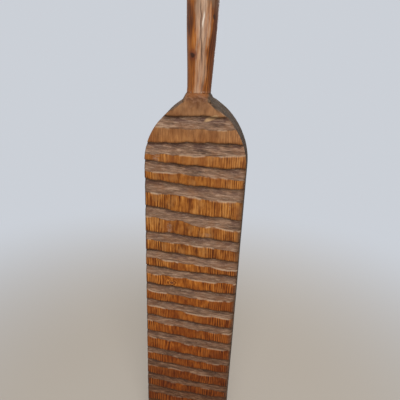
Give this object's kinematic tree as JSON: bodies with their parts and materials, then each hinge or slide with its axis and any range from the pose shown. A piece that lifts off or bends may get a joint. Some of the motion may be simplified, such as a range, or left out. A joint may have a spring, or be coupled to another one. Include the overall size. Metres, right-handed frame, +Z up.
{
  "type": "ribbed mangle board",
  "caption": "Long wooden laundry board with cross ribs on its front, rounded shoulders and a round handle, pegged at the neck.",
  "frame": {"origin": "on the ground under the middle of the foot, with the board standing upright", "axes": "+Z up the board to the handle, ribs face -Y, +X to the right as seen from the ribbed side"},
  "size_m": [0.11, 0.0324, 0.619],
  "materials": {
    "board_wood": "hand-cut hardwood, oiled reddish brown, worn grey-brown in the cuts",
    "handle_wood": "hand-shaped hardwood, oiled and polished by use",
    "wedge_wood": "plain split hardwood, unfinished",
    "peg_wood": "darker whittled hardwood, oiled end grain"
  },
  "bodies": {
    "root": {"ribbed_board": "board_wood", "handle": "handle_wood", "fox_wedge": "wedge_wood", "lock_peg_upper": "peg_wood", "lock_peg_lower": "peg_wood"}
  },
  "joints": []
}
